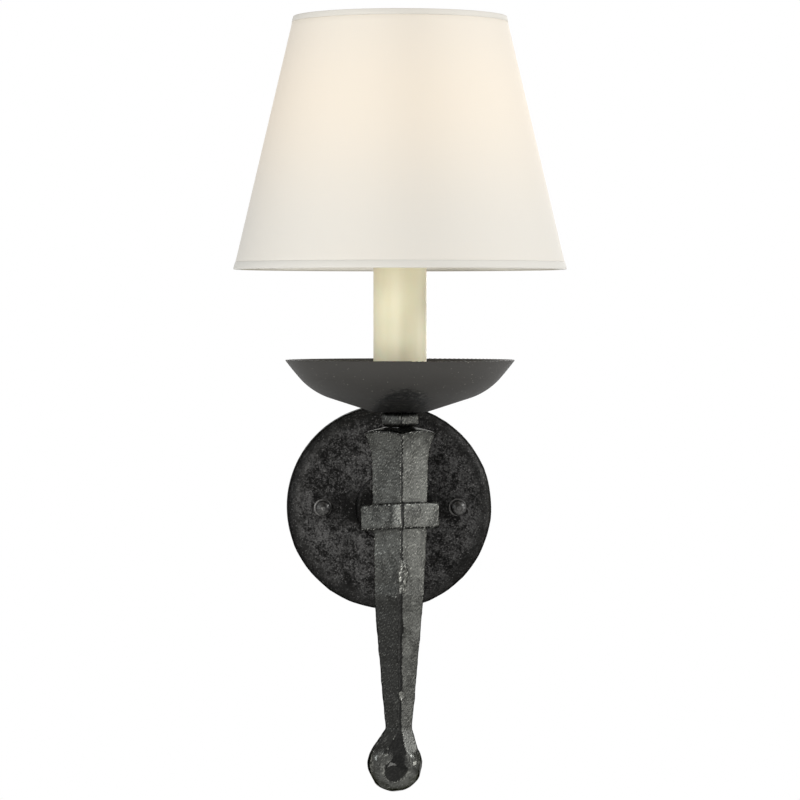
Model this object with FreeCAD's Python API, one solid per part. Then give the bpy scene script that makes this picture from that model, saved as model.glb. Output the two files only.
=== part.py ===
"""Forged torch sconce: a wall light with one candle and a clip-on shade.

Frame: the wall is the plane Y = 0 and the room is towards -Y, +Z is up, and the origin is
the centre of the wall bracket. Sizes are in millimetres. The torch stands on an upright axis
at Y = -PROJECTION. Each function makes one piece, and the last block writes one STEP file each.
"""

import FreeCAD, Part
import math
import os

from FreeCAD import Rotation, Vector

# ---- Driving sizes -------------------------------------------------------------------------
PROJECTION = 120.0          # wall to the torch axis
FIT = 0.1                   # radial gap of a rod or thread in its hole
GAP = 0.3                   # gap between pieces that move past each other

# Round backplate, a dished iron pan
PLATE_DIA = 135.2
PLATE_DEPTH = 18.0
PLATE_WALL = 2.0
PLATE_EDGE_RADIUS = 8.0
BOSS_DIA = 46.0             # raised round foot under the arm
BOSS_THICK = 3.5
BOSS_EDGE = 1.5

# Wall bracket behind the plate
BAR_END = 7.5               # bar beyond a stud's centre
BAR_WIDTH = 20.0
BAR_THICK = 2.0
BAR_WIRE_HOLE_DIA = 14.0
BOX_SCREW_SPACING = 69.85   # outlet box screws, 2 3/4 in
BOX_SLOT_WIDTH = 4.6
BOX_SLOT_LENGTH = 8.0
STUD_OUTSIDE_SLOT = 9.525   # 3/8 in, which sets the studs 3 1/2 in apart
STUD_DIA = 4.16
STUD_PITCH = 0.794
STUD_NUT_FLATS = 8.7
STUD_NUT_THICK = 3.2
GROUND_SCREW_INSIDE_SLOT = 17.0
GROUND_SCREW_DIA = 4.0
GROUND_HEAD_FLATS = 7.0
GROUND_HEAD_THICK = 2.6

# Ball nuts on the studs
WASHER_DIA = 11.8
WASHER_THICK = 1.4
BALL_NUT_DIA = 10.6
BALL_NUT_NECK_DIA = 7.4
BALL_NUT_NECK = 2.6
BALL_NUT_SIDES = 12
BALL_NUT_TIERS = 7
STUD_ENGAGED = 9.0          # stud inside the ball nut

# Threaded tubes that the wires run through
TUBE_DIA = 9.8
TUBE_BORE = 7.0
TUBE_NUT_FLATS = 14.3
TUBE_NUT_THICK = 3.2
TUBE_WASHER_DIA = 22.0
TUBE_WASHER_THICK = 1.2

# Forged arm
ARM_END = 15.0              # side of the square at the strap
ARM_FOOT = 25.0             # side of the square at the boss
ARM_FLARE = 9.0             # length over which the foot dies away
ARM_EDGE = 1.6
ARM_STEPS = 9

# Strap round the stem
STRAP_HEIGHT = 16.4
STRAP_THICK = 5.6
STRAP_CORNER = 2.2
STRAP_ROUND = 0.9
STRAP_LIFT = -0.2           # strap centre above the arm axis
STRAP_TILT = -2.0           # degrees, as hammered on: its right side is higher
STRAP_NOD = -4.0            # degrees: its front corner is higher

# Forged stem, a square bar set corner forward
HEAD_TOP = 56.0             # land under the collar, above the arm axis
HEAD_TIP_DROP = 3.4         # corner tips below the land
HEAD_HALF = 22.7            # axis to a corner tip
WAIST_HALF = 17.5
WAIST_Z = 15.0
FLARE_POWER = 4
SHOULDER_HALF = 15.8
SHOULDER_Z = -50.0
NECK_HALF = 8.5
CORNER_FLAT = 0.5           # half width of the hammered flat on a corner
TAIL_CORNER_FLAT = 1.3
HAMMER_WANDER = 0.45        # share by which the corner flats come and go
HAMMER_LENGTH = 23.0        # distance over which they do
HAMMER_TWIST = 2.2          # degrees that the tail turns to and fro
HEAD_STEPS = 7
WAIST_STEPS = 3
BODY_STEPS = 4
TAIL_STEPS = 9
WIRE_BORE_DIA = 8.4
TAPPED_DEPTH = 12.0

# Ball at the foot of the stem
BALL_DIA = 35.0
BALL_Z = -156.6
TAIL_LEAN = -0.8            # below the strap the stem runs a little to the left
BALL_LEAN = -3.3            # and the ball hangs further to the left
BALL_FLATS = 24
BALL_FLAT_CUT = 0.55        # depth of a hammered flat
BALL_SHOULDER = 8.9         # where the neck's taper ends, above the ball's centre
BALL_SHOULDER_HALF = 14.6
BALL_NECK = 22.4            # narrowest section above the ball's centre

# Collar between the stem and the dish
COLLAR_SIDE = 17.4
COLLAR_HEIGHT = 9.8
COLLAR_ROUND = 3.4
COLLAR_CORNER = 1.6

# Dish
DISH_DIA = 144.4
DISH_DEPTH = 32.8
DISH_WALL = 2.0
DISH_SEAT_RADIUS = 17.5
DISH_TURN_RADIUS = 42.5     # where the shallow bottom turns up
DISH_TURN_RISE = 8.1
DISH_SIDE_RADIUS = 62.5
DISH_SIDE_RISE = 20.4
DISH_BULGE = 1.15

# Candle cover, socket and its bracket
COVER_DIA = 33.5
COVER_WALL = 1.0
COVER_HEIGHT = 132.9
SOCKET_DIA = 30.0
SOCKET_WALL = 1.0
SOCKET_HEIGHT = 41.5
SOCKET_FLOOR = 7.0
SOCKET_BELOW_COVER = 1.0
SHELL_WALL = 0.4
SHELL_FLANGE = 5.0
SHELL_LIFT = 2.0
BRACKET_WIDTH = 15.0
BRACKET_THICK = 1.5
BRACKET_OFFSET = 10.0       # leg's outer face from the axis
BRACKET_LAP = 26.0
BRACKET_SPLIT = 0.42        # share of the height where the two legs lap
BRACKET_SLOT = 16.0
CLAMP_SCREW_DIA = 3.0
CLAMP_HEAD_DIA = 5.6
CLAMP_HEAD_THICK = 1.8
RIVET_DIA = 3.0
RIVET_HEAD_DIA = 5.0
RIVET_HEAD_THICK = 1.0
RIVET_SPACING = 6.6
PLUNGER_HEAD_DIA = 8.0
PLUNGER_HEAD_THICK = 2.0
PLUNGER_STEM_DIA = 4.2
SPRING_LENGTH = 5.6
SPRING_DIA = 6.6
SPRING_WIRE_DIA = 0.8
SPRING_TURNS = 3

# Bulb
BULB_DIA = 60.0
BULB_CENTRE = 81.0          # tip to the middle of the globe
BULB_NECK_DIA = 26.4
BULB_NECK_TURN = 45.0       # degrees below the widest line where globe meets housing
GLOBE_SPIGOT = 2.0          # rim of the housing inside the globe
GLASS_WALL = 0.9
BASE_DIA = 26.0
BASE_WALL = 0.3
BASE_TOP = 27.0
BASE_BOTTOM = 5.0
TIP_DIA = 9.0
TIP_THICK = 1.6
BASE_CONE_DIA = 20.0
HOUSING_SEAT = 8.0          # housing inside the base

# Wire clip that grips the bulb
CLIP_WIRE_DIA = 1.8
CLIP_RING_ANGLE = 31.0      # half angle of a ring seen from the globe's middle
CLIP_RISE = 47.0            # globe middle to the cross wire
CLIP_LEG_GAP = 8.0
CLIP_BEND = 4.0
HUB_DIA = 5.2
HUB_LENGTH = 16.0
TAB_WIDTH = 13.0
TAB_THICK = 3.4
CLIP_LEG_BELOW_TAB = 1.0    # straight leg between its bend and the tab
CLIP_LEG_IN_TAB = 5.5

# Shade
SHADE_TOP_DIA = 134.0
SHADE_BOTTOM_DIA = 209.2
SHADE_HEIGHT = 158.2
SHADE_RECESS = 12.8         # cross wire below the top edge
CLOTH_THICK = 0.8
LINER_THICK = 0.5
TRIM_THICK = 0.4
TRIM_TOP = 3.4
TRIM_BOTTOM = 4.4
FRAME_WIRE_DIA = 2.6
CROSS_BEND = 7.0
CROSS_FLAT_SHARE = 0.78     # share of the ring's radius that the cross wire runs level
STOP_DIA = 4.8
STOP_WIDTH = 1.2
STOP_PLAY = 0.2

# ---- Heights that follow from them ---------------------------------------------------------
STUD_X = BOX_SCREW_SPACING / 2 + STUD_OUTSIDE_SLOT
GROUND_SCREW_X = BOX_SCREW_SPACING / 2 - GROUND_SCREW_INSIDE_SLOT
BAR_LENGTH = 2 * (STUD_X + BAR_END)
NECK_Z = BALL_Z + BALL_NECK
PLATE_FRONT = PLATE_DEPTH                        # distances from the wall
BOSS_FRONT = PLATE_FRONT + BOSS_THICK
COLLAR_TOP = HEAD_TOP + COLLAR_HEIGHT
DISH_FLOOR = COLLAR_TOP + DISH_WALL
DISH_RIM = COLLAR_TOP + DISH_DEPTH
COVER_FOOT = DISH_FLOOR + FIT
COVER_TOP = COVER_FOOT + COVER_HEIGHT
SOCKET_TOP = COVER_TOP - SOCKET_BELOW_COVER
SOCKET_FOOT = SOCKET_TOP - SOCKET_HEIGHT
SOCKET_SEAT = SOCKET_FOOT + SOCKET_FLOOR
PLUNGER_HEAD_FOOT = SOCKET_SEAT + SPRING_LENGTH
BULB_TIP = PLUNGER_HEAD_FOOT + PLUNGER_HEAD_THICK + FIT
GLOBE_Z = BULB_TIP + BULB_CENTRE
CROSS_Z = GLOBE_Z + CLIP_RISE
SHADE_TOP = CROSS_Z + SHADE_RECESS
SHADE_FOOT = SHADE_TOP - SHADE_HEIGHT
DISH_WASHER_TOP = DISH_FLOOR + TUBE_WASHER_THICK
DISH_NUT_TOP = DISH_WASHER_TOP + TUBE_NUT_THICK
BRACKET_FOOT_TOP = DISH_NUT_TOP + BRACKET_THICK
BRACKET_NUT_TOP = BRACKET_FOOT_TOP + TUBE_NUT_THICK
TUBE_R = TUBE_DIA / 2
TUBE_HOLE_R = TUBE_R + FIT
SQUARE = math.sqrt(2)


# ---- Small shared tools --------------------------------------------------------------------
def on_axis(shape):
    """Moves a piece that was drawn round the Z axis to the torch axis."""
    return shape.translated(Vector(0, -PROJECTION, 0))


def from_wall(shape):
    """Lays a piece that was drawn upwards along +Z so that it points out of the wall."""
    return shape.rotated(Vector(), Vector(1, 0, 0), 90)


def outline(points):
    """A face in the XZ plane. A step is a (radius, height) point, or a middle and an end point of an arc."""
    here = points[0]
    edges = []
    for step in points[1:] + points[:1]:
        is_arc = isinstance(step[0], tuple)
        end = step[1] if is_arc else step
        start = Vector(here[0], 0, here[1])
        finish = Vector(end[0], 0, end[1])
        if is_arc:
            middle = Vector(step[0][0], 0, step[0][1])
            edges.append(Part.Arc(start, middle, finish).toShape())
        elif start.distanceToPoint(finish) > 1e-6:
            edges.append(Part.makeLine(start, finish))
        here = end
    return Part.Face(Part.Wire(edges))


def turned(points):
    return outline(points).revolve(Vector(), Vector(0, 0, 1), 360)


def tube(outer, inner, low, high):
    body = Part.makeCylinder(outer, high - low, Vector(0, 0, low))
    return body.cut(Part.makeCylinder(inner, high - low, Vector(0, 0, low)))


def disc_between(radius, low, high, x=0.0, y=0.0):
    return Part.makeCylinder(radius, high - low, Vector(x, y, low))


def hexagon(flats, low, high, bore):
    corner = flats / math.sqrt(3)
    corners = [Vector(corner * math.cos(math.radians(60 * k)), corner * math.sin(math.radians(60 * k)), low)
               for k in range(7)]
    body = Part.Face(Part.makePolygon(corners)).extrude(Vector(0, 0, high - low))
    return body.cut(disc_between(bore, low, high)) if bore else body


def wire_along(edges, radius):
    """A round wire along a path of lines and arcs that share their ends."""
    path = Part.Wire(edges)
    first = path.Edges[0]
    start = first.valueAt(first.FirstParameter)
    ring = Part.Circle(start, first.tangentAt(first.FirstParameter), radius)
    return path.makePipeShell([Part.Wire(ring.toShape())], True, True)


def diamond(half, flat, z, twist=0.0, shift=0.0, flats=None):
    """A square set corner forward with its corners hammered flat. half is the axis to a flat."""
    spin = Rotation(Vector(0, 0, 1), twist)
    points = []
    for k in range(4):
        width = flats[k] if flats else flat
        turn = Rotation(Vector(0, 0, 1), 90 * k)
        points += [turn.multVec(Vector(half, side * width, 0)) for side in (-1, 1)]
    placed = [spin.multVec(p) + Vector(shift, 0, z) for p in points]
    return Part.makePolygon(placed + placed[:1])


def square_bar(side, corner, low, high):
    """An upright bar, square and corner forward, with its long edges rounded."""
    body = Part.makeBox(side, side, high - low, Vector(-side / 2, -side / 2, low))
    upright = [e for e in body.Edges if abs(e.tangentAt(e.FirstParameter).z) > 0.9]
    return body.makeFillet(corner, upright).rotated(Vector(), Vector(0, 0, 1), 45)


# ---- Wall bracket and backplate --------------------------------------------------------------
def slot(x, width, length, depth):
    run = (length - width) / 2
    hole = Part.makeBox(2 * run, width, depth, Vector(x - run, -width / 2, 0))
    for end in (-run, run):
        hole = hole.fuse(disc_between(width / 2, 0, depth, x + end))
    return hole.removeSplitter()


def crossbar():
    body = Part.makeBox(BAR_LENGTH, BAR_WIDTH, BAR_THICK, Vector(-BAR_LENGTH / 2, -BAR_WIDTH / 2, 0))
    corners = [e for e in body.Edges if abs(e.tangentAt(e.FirstParameter).z) > 0.9]
    body = body.makeFillet(BAR_WIDTH / 4, corners)
    body = body.cut(disc_between(BAR_WIRE_HOLE_DIA / 2, 0, BAR_THICK))
    body = body.cut(disc_between(GROUND_SCREW_DIA / 2 + FIT, 0, BAR_THICK, GROUND_SCREW_X))
    for side in (-1, 1):
        body = body.cut(slot(side * BOX_SCREW_SPACING / 2, BOX_SLOT_WIDTH, BOX_SLOT_LENGTH, BAR_THICK))
        body = body.cut(disc_between(STUD_DIA / 2 + FIT, 0, BAR_THICK, side * STUD_X))
    return from_wall(body)


def stud_end():
    return PLATE_FRONT + WASHER_THICK + STUD_ENGAGED


def crossbar_studs():
    studs = [disc_between(STUD_DIA / 2, 0, stud_end(), side * STUD_X) for side in (-1, 1)]
    return from_wall(Part.makeCompound(studs))


def stud_lock_nuts():
    nut = hexagon(STUD_NUT_FLATS, BAR_THICK, BAR_THICK + STUD_NUT_THICK, STUD_DIA / 2 + FIT)
    pair = [nut.translated(Vector(side * STUD_X, 0, 0)) for side in (-1, 1)]
    return from_wall(Part.makeCompound(pair))


def ground_screw():
    head = hexagon(GROUND_HEAD_FLATS, BAR_THICK, BAR_THICK + GROUND_HEAD_THICK, 0)
    screw = head.fuse(disc_between(GROUND_SCREW_DIA / 2, 0, BAR_THICK))
    return from_wall(screw.translated(Vector(GROUND_SCREW_X, 0, 0)))


def backplate():
    radius = PLATE_DIA / 2
    bend = PLATE_EDGE_RADIUS
    inner_bend = bend - PLATE_WALL
    diagonal = 1 - math.sqrt(0.5)
    pan = turned([
        (TUBE_HOLE_R, PLATE_FRONT),
        (radius - bend, PLATE_FRONT),
        ((radius - bend * diagonal, PLATE_FRONT - bend * diagonal), (radius, PLATE_FRONT - bend)),
        (radius, 0),
        (radius - PLATE_WALL, 0),
        (radius - PLATE_WALL, PLATE_FRONT - bend),
        ((radius - PLATE_WALL - inner_bend * diagonal, PLATE_FRONT - PLATE_WALL - inner_bend * diagonal),
         (radius - bend, PLATE_FRONT - PLATE_WALL)),
        (TUBE_HOLE_R, PLATE_FRONT - PLATE_WALL),
    ])
    for side in (-1, 1):
        pan = pan.cut(disc_between(STUD_DIA / 2 + GAP, 0, PLATE_FRONT, side * STUD_X))
    return from_wall(pan)


def arm_boss():
    radius = BOSS_DIA / 2
    return from_wall(turned([
        (TUBE_HOLE_R, PLATE_FRONT),
        (radius, PLATE_FRONT),
        (radius, BOSS_FRONT - BOSS_EDGE),
        (radius - BOSS_EDGE, BOSS_FRONT),
        (TUBE_HOLE_R, BOSS_FRONT),
    ]))


def washer(outer):
    radius = outer / 2
    round_over = WASHER_THICK / 2
    low = PLATE_FRONT
    high = low + WASHER_THICK
    bore = STUD_DIA / 2 + FIT
    return turned([
        (bore, low),
        (radius - round_over / 2, low),
        ((radius, low + round_over), (radius - round_over / 2, high)),
        (bore, high),
    ])


def ball_nut():
    """A forged ball nut: a neck and a ball, with hammered sides."""
    foot = PLATE_FRONT + WASHER_THICK
    ball_r = BALL_NUT_DIA / 2
    neck_r = BALL_NUT_NECK_DIA / 2
    low_angle = math.asin(neck_r / ball_r)
    middle = foot + BALL_NUT_NECK + ball_r * math.cos(low_angle)
    levels = [(neck_r, foot)]
    for k in range(BALL_NUT_TIERS):
        angle = low_angle + (math.pi * 0.93 - low_angle) * k / (BALL_NUT_TIERS - 1)
        levels.append((ball_r * math.sin(angle), middle - ball_r * math.cos(angle)))
    rings = []
    for k, (radius, z) in enumerate(levels):
        step = 2 * math.pi / BALL_NUT_SIDES
        points = [Vector(radius * math.cos(step * i), radius * math.sin(step * i), z)
                  for i in range(BALL_NUT_SIDES)]
        rings.append(Part.makePolygon(points + points[:1]))
    body = Part.makeLoft(rings, True, True)
    return body.cut(disc_between(STUD_DIA / 2 + FIT, foot, stud_end() + GAP))


def at_stud(shape, side):
    return from_wall(shape.translated(Vector(side * STUD_X, 0, 0)))


# ---- Arm, its threaded tube and the strap ------------------------------------------------------
def strap_half_side():
    """Half the side of the strap's square hole: the widest stem inside it, plus the fit."""
    top = STRAP_LIFT + STRAP_HEIGHT / 2
    return (stem_half(top) + CORNER_FLAT) / SQUARE + FIT


def on_strap(block):
    """Tilts a block that was drawn round the stem's axis as the strap is."""
    middle = Vector(0, 0, STRAP_LIFT)
    return block.rotated(middle, Vector(1, 0, 0), STRAP_NOD).rotated(middle, Vector(0, 1, 0), STRAP_TILT)


def strap():
    outer = 2 * (strap_half_side() + STRAP_THICK)
    low = STRAP_LIFT - STRAP_HEIGHT / 2
    high = STRAP_LIFT + STRAP_HEIGHT / 2
    block = square_bar(outer, STRAP_CORNER, low, high)
    ends = [edge for edge in block.Edges if edge.BoundBox.ZLength < 1e-6]
    block = on_strap(block.makeFillet(STRAP_ROUND, ends))
    inner = 2 * strap_half_side()
    hole = square_bar(inner, CORNER_FLAT, low - STRAP_HEIGHT, high + STRAP_HEIGHT)
    return on_axis(block.cut(hole)).cut(from_wall(disc_between(TUBE_HOLE_R, 0, PROJECTION)))


def arm():
    reach = PROJECTION - PLATE_FRONT
    sections = []
    for k in range(ARM_STEPS):
        run = (k / (ARM_STEPS - 1)) ** 2 * (reach - BOSS_THICK)
        side = ARM_END + (ARM_FOOT - ARM_END) * math.exp(-run / ARM_FLARE)
        half = side / 2
        cut = ARM_EDGE
        corners = [(half, half - cut), (half - cut, half), (cut - half, half), (-half, half - cut),
                   (-half, cut - half), (cut - half, -half), (half - cut, -half), (half, cut - half)]
        points = [Vector(x, y, BOSS_FRONT + run) for x, y in corners]
        sections.append(Part.makePolygon(points + points[:1]))
    bar = from_wall(Part.makeLoft(sections, True, True))
    seat = square_bar(2 * (strap_half_side() + STRAP_THICK), STRAP_CORNER, -ARM_FOOT, ARM_FOOT)
    bar = bar.cut(on_axis(on_strap(seat)))
    front = on_axis(Part.makeBox(4 * ARM_FOOT, 2 * ARM_FOOT, 2 * ARM_FOOT,
                                 Vector(-2 * ARM_FOOT, -2 * ARM_FOOT, -ARM_FOOT)))
    bar = bar.cut(front)
    return bar.cut(from_wall(disc_between(TUBE_HOLE_R, 0, PROJECTION)))


def arm_tube():
    inside_plate = PLATE_FRONT - PLATE_WALL - TUBE_WASHER_THICK - TUBE_NUT_THICK - 2 * GAP
    return from_wall(tube(TUBE_R, TUBE_BORE / 2, inside_plate, PROJECTION - TUBE_DIA / 2))


def plate_washer():
    top = PLATE_FRONT - PLATE_WALL
    return from_wall(tube(TUBE_WASHER_DIA / 2, TUBE_HOLE_R, top - TUBE_WASHER_THICK, top))


def plate_nut():
    top = PLATE_FRONT - PLATE_WALL - TUBE_WASHER_THICK
    return from_wall(hexagon(TUBE_NUT_FLATS, top - TUBE_NUT_THICK, top, TUBE_HOLE_R))


# ---- Forged stem -------------------------------------------------------------------------------
def stem_half(z):
    """Axis to a corner of the stem at height z."""
    if z >= WAIST_Z:
        share = (z - WAIST_Z) / (HEAD_TOP - HEAD_TIP_DROP - WAIST_Z)
        return WAIST_HALF + (HEAD_HALF - WAIST_HALF) * share ** FLARE_POWER
    if z >= SHOULDER_Z:
        share = (WAIST_Z - z) / (WAIST_Z - SHOULDER_Z)
        return WAIST_HALF + (SHOULDER_HALF - WAIST_HALF) * share
    share = (SHOULDER_Z - z) / (SHOULDER_Z - NECK_Z)
    return SHOULDER_HALF + (NECK_HALF - SHOULDER_HALF) * share


def stem_levels():
    """Heights of the stem's sections, from the head down to the neck."""
    strap_low = STRAP_LIFT - STRAP_HEIGHT
    stops = [(HEAD_TOP, WAIST_Z, HEAD_STEPS), (WAIST_Z, strap_low, WAIST_STEPS),
             (strap_low, SHOULDER_Z, BODY_STEPS), (SHOULDER_Z, NECK_Z, TAIL_STEPS)]
    heights = [high + (low - high) * k / steps for high, low, steps in stops for k in range(steps)]
    return heights + [NECK_Z]


def hammered(z):
    """Corner flats and twist of the stem at height z. They wander only below the strap."""
    below = min(1.0, max(0.0, (STRAP_LIFT - STRAP_HEIGHT - z) / HAMMER_LENGTH))
    wave = 2 * math.pi * z / HAMMER_LENGTH
    base = CORNER_FLAT + (TAIL_CORNER_FLAT - CORNER_FLAT) * below
    taper = min(1.0, stem_half(z) / SHOULDER_HALF)
    flats = [base * taper * (1 + HAMMER_WANDER * below * math.sin(wave * (0.8 + 0.13 * k) + 1.9 * k))
             for k in range(4)]
    return flats, HAMMER_TWIST * below * math.sin(0.61 * wave)


def tail_lean(z):
    """How far the stem's middle lies to the right of the torch axis at height z."""
    strap_low = STRAP_LIFT - STRAP_HEIGHT
    return TAIL_LEAN * min(1.0, max(0.0, (strap_low - z) / (strap_low - SHOULDER_Z)))


def faceted_ball():
    """The ball with flats hammered on it, spread by the golden angle."""
    radius = BALL_DIA / 2
    ball = Part.makeSphere(radius)
    golden = math.pi * (3 - math.sqrt(5))
    for k in range(BALL_FLATS):
        up = 1 - (2 * k + 1) / BALL_FLATS
        level = math.sqrt(1 - up * up)
        way = Vector(level * math.cos(golden * k), level * math.sin(golden * k), up)
        depth = BALL_FLAT_CUT * (1 + 0.5 * math.sin(3 * k))
        block = Part.makeBox(BALL_DIA, BALL_DIA, BALL_DIA, Vector(-radius, -radius, radius - depth))
        block.Placement = FreeCAD.Placement(Vector(), Rotation(Vector(0, 0, 1), way))
        ball = ball.cut(block)
    return ball.translated(Vector(BALL_LEAN, 0, BALL_Z))


def stem():
    sections = []
    for z in stem_levels():
        flats, twist = hammered(z)
        sections.append(diamond(stem_half(z), 0, z, twist, tail_lean(z), flats))
    bar = Part.makeLoft(sections, True, True)
    dome_radius = HEAD_HALF ** 2 / (2 * (HEAD_TIP_DROP + 0.8))
    dome = Part.makeSphere(dome_radius, Vector(0, 0, HEAD_TOP + 0.8 - dome_radius))
    crown = bar.common(dome.fuse(disc_between(dome_radius, NECK_Z, WAIST_Z)))
    flats, twist = hammered(NECK_Z)
    neck = diamond(NECK_HALF, 0, NECK_Z, twist, TAIL_LEAN, flats)
    shoulder = diamond(BALL_SHOULDER_HALF, BALL_SHOULDER_HALF * 0.42, BALL_Z + BALL_SHOULDER, 0, BALL_LEAN)
    body = crown.fuse([Part.makeLoft([neck, shoulder], True, True), faceted_ball()])
    bore = disc_between(WIRE_BORE_DIA / 2, -TUBE_R, HEAD_TOP + HEAD_TIP_DROP)
    bore = bore.fuse(disc_between(TUBE_HOLE_R, HEAD_TOP - TAPPED_DEPTH, HEAD_TOP + HEAD_TIP_DROP))
    body = on_axis(body.cut(bore))
    return body.cut(from_wall(disc_between(TUBE_HOLE_R, 0, PROJECTION)))


def collar():
    side = COLLAR_SIDE
    block = square_bar(side, COLLAR_CORNER, HEAD_TOP, COLLAR_TOP)
    level = [e for e in block.Edges if abs(e.CenterOfMass.z - HEAD_TOP) < 1e-6
             or abs(e.CenterOfMass.z - COLLAR_TOP) < 1e-6]
    block = block.makeFillet(COLLAR_ROUND, level)
    return on_axis(block.cut(disc_between(TUBE_HOLE_R, HEAD_TOP, COLLAR_TOP)))


def head_tube():
    low = HEAD_TOP - TAPPED_DEPTH
    return on_axis(tube(TUBE_R, TUBE_BORE / 2, low, BRACKET_NUT_TOP + GAP))


# ---- Dish --------------------------------------------------------------------------------------
def dish():
    rim_r = DISH_DIA / 2
    side = (DISH_SIDE_RADIUS, COLLAR_TOP + DISH_SIDE_RISE)
    turn = (DISH_TURN_RADIUS, COLLAR_TOP + DISH_TURN_RISE)
    middle = ((turn[0] + side[0]) / 2 + DISH_BULGE, (turn[1] + side[1]) / 2 - DISH_BULGE)
    wall = DISH_WALL
    steep = wall * 1.2
    return on_axis(turned([
        (TUBE_HOLE_R, COLLAR_TOP),
        (DISH_SEAT_RADIUS, COLLAR_TOP),
        turn,
        (middle, side),
        ((side[0] + (rim_r - side[0]) * 0.54, side[1] + (DISH_RIM - side[1]) * 0.5),
         (rim_r, DISH_RIM - wall / 4)),
        ((rim_r - wall / 4, DISH_RIM), (rim_r - wall / 2, DISH_RIM - wall / 8)),
        ((side[0] - wall + (rim_r - side[0]) * 0.52, side[1] + wall / 2 + (DISH_RIM - side[1]) * 0.5),
         (side[0] - steep, side[1] + wall)),
        ((middle[0] - wall * 0.7, middle[1] + wall * 1.15), (turn[0] - wall / 2, turn[1] + wall)),
        (DISH_SEAT_RADIUS, DISH_FLOOR),
        (TUBE_HOLE_R, DISH_FLOOR),
    ]))


def dish_washer():
    return on_axis(tube(TUBE_WASHER_DIA / 2, TUBE_HOLE_R, DISH_FLOOR, DISH_WASHER_TOP))


def dish_nut():
    return on_axis(hexagon(TUBE_NUT_FLATS, DISH_WASHER_TOP, DISH_NUT_TOP, TUBE_HOLE_R))


# ---- Candle cover, socket and its bracket ------------------------------------------------------
def lap_heights():
    """The stretch where the bracket's two legs lie on each other."""
    middle = DISH_NUT_TOP + (SOCKET_FOOT - DISH_NUT_TOP) * BRACKET_SPLIT
    return middle - BRACKET_LAP / 2, middle + BRACKET_LAP / 2


def clamp_hole(extra=0.0):
    low, high = lap_heights()
    hole = Part.makeCylinder(CLAMP_SCREW_DIA / 2 + extra, 2 * BRACKET_OFFSET,
                             Vector(-2 * BRACKET_OFFSET, 0, (low + high) / 2), Vector(1, 0, 0))
    return hole


def bracket_leg(outer, low, high):
    """An upright strip whose outer face is that far to the left of the axis."""
    return Part.makeBox(BRACKET_THICK, BRACKET_WIDTH, high - low, Vector(-outer, -BRACKET_WIDTH / 2, low))


def bracket_foot():
    low, high = lap_heights()
    foot = Part.makeBox(BRACKET_OFFSET + TUBE_NUT_FLATS / 2, BRACKET_WIDTH, BRACKET_THICK,
                        Vector(-BRACKET_OFFSET, -BRACKET_WIDTH / 2, DISH_NUT_TOP))
    body = foot.fuse(bracket_leg(BRACKET_OFFSET, DISH_NUT_TOP, high)).removeSplitter()
    width = CLAMP_SCREW_DIA + 2 * FIT
    middle = (low + high) / 2
    opening = Part.makeBox(2 * BRACKET_THICK, width, BRACKET_SLOT - width,
                           Vector(-BRACKET_OFFSET - BRACKET_THICK / 2, -width / 2,
                                  middle - (BRACKET_SLOT - width) / 2))
    for end in (-1, 1):
        at = Vector(-BRACKET_OFFSET - BRACKET_THICK / 2, 0, middle + end * (BRACKET_SLOT - width) / 2)
        opening = opening.fuse(Part.makeCylinder(width / 2, 2 * BRACKET_THICK, at, Vector(1, 0, 0)))
    body = body.cut(opening).cut(disc_between(TUBE_HOLE_R, DISH_FLOOR, BRACKET_FOOT_TOP))
    return on_axis(body)


def bracket_nut():
    return on_axis(hexagon(TUBE_NUT_FLATS, BRACKET_FOOT_TOP, BRACKET_NUT_TOP, TUBE_HOLE_R))


def bracket_post():
    low, high = lap_heights()
    inner = BRACKET_OFFSET - BRACKET_THICK
    head = Part.makeBox(2 * inner, BRACKET_WIDTH, BRACKET_THICK,
                        Vector(-inner, -BRACKET_WIDTH / 2, SOCKET_FOOT - BRACKET_THICK))
    body = head.fuse(bracket_leg(inner, low, SOCKET_FOOT)).removeSplitter()
    body = body.cut(clamp_hole(FIT))
    for x in rivet_places():
        body = body.cut(disc_between(RIVET_DIA / 2 + FIT, SOCKET_FOOT - BRACKET_THICK, SOCKET_FOOT, x))
    body = body.cut(disc_between(PLUNGER_STEM_DIA / 2 + GAP, SOCKET_FOOT - BRACKET_THICK, SOCKET_FOOT))
    return on_axis(body)


def clamp_screw():
    low, high = lap_heights()
    z = (low + high) / 2
    outer = -BRACKET_OFFSET
    inner = -BRACKET_OFFSET + 2 * BRACKET_THICK
    along = Vector(1, 0, 0)
    shank = Part.makeCylinder(CLAMP_SCREW_DIA / 2, 2 * BRACKET_THICK, Vector(outer, 0, z), along)
    radius = CLAMP_HEAD_DIA / 2
    head = Part.makeCylinder(radius, CLAMP_HEAD_THICK, Vector(outer - CLAMP_HEAD_THICK, 0, z), along)
    nut = Part.makeCylinder(radius, CLAMP_HEAD_THICK, Vector(inner, 0, z), along)
    return on_axis(shank.fuse([head, nut]).removeSplitter())


def rivet_places():
    return (-RIVET_SPACING / 2 - PLUNGER_STEM_DIA / 4, RIVET_SPACING / 2 + PLUNGER_STEM_DIA / 4)


def socket_rivets():
    foot = SOCKET_FOOT - BRACKET_THICK
    rivets = []
    for x in rivet_places():
        head = disc_between(RIVET_HEAD_DIA / 2, foot - RIVET_HEAD_THICK, foot, x)
        shank = disc_between(RIVET_DIA / 2, foot, SOCKET_FOOT + SOCKET_FLOOR / 2, x)
        rivets.append(head.fuse(shank).removeSplitter())
    return on_axis(Part.makeCompound(rivets))


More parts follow.
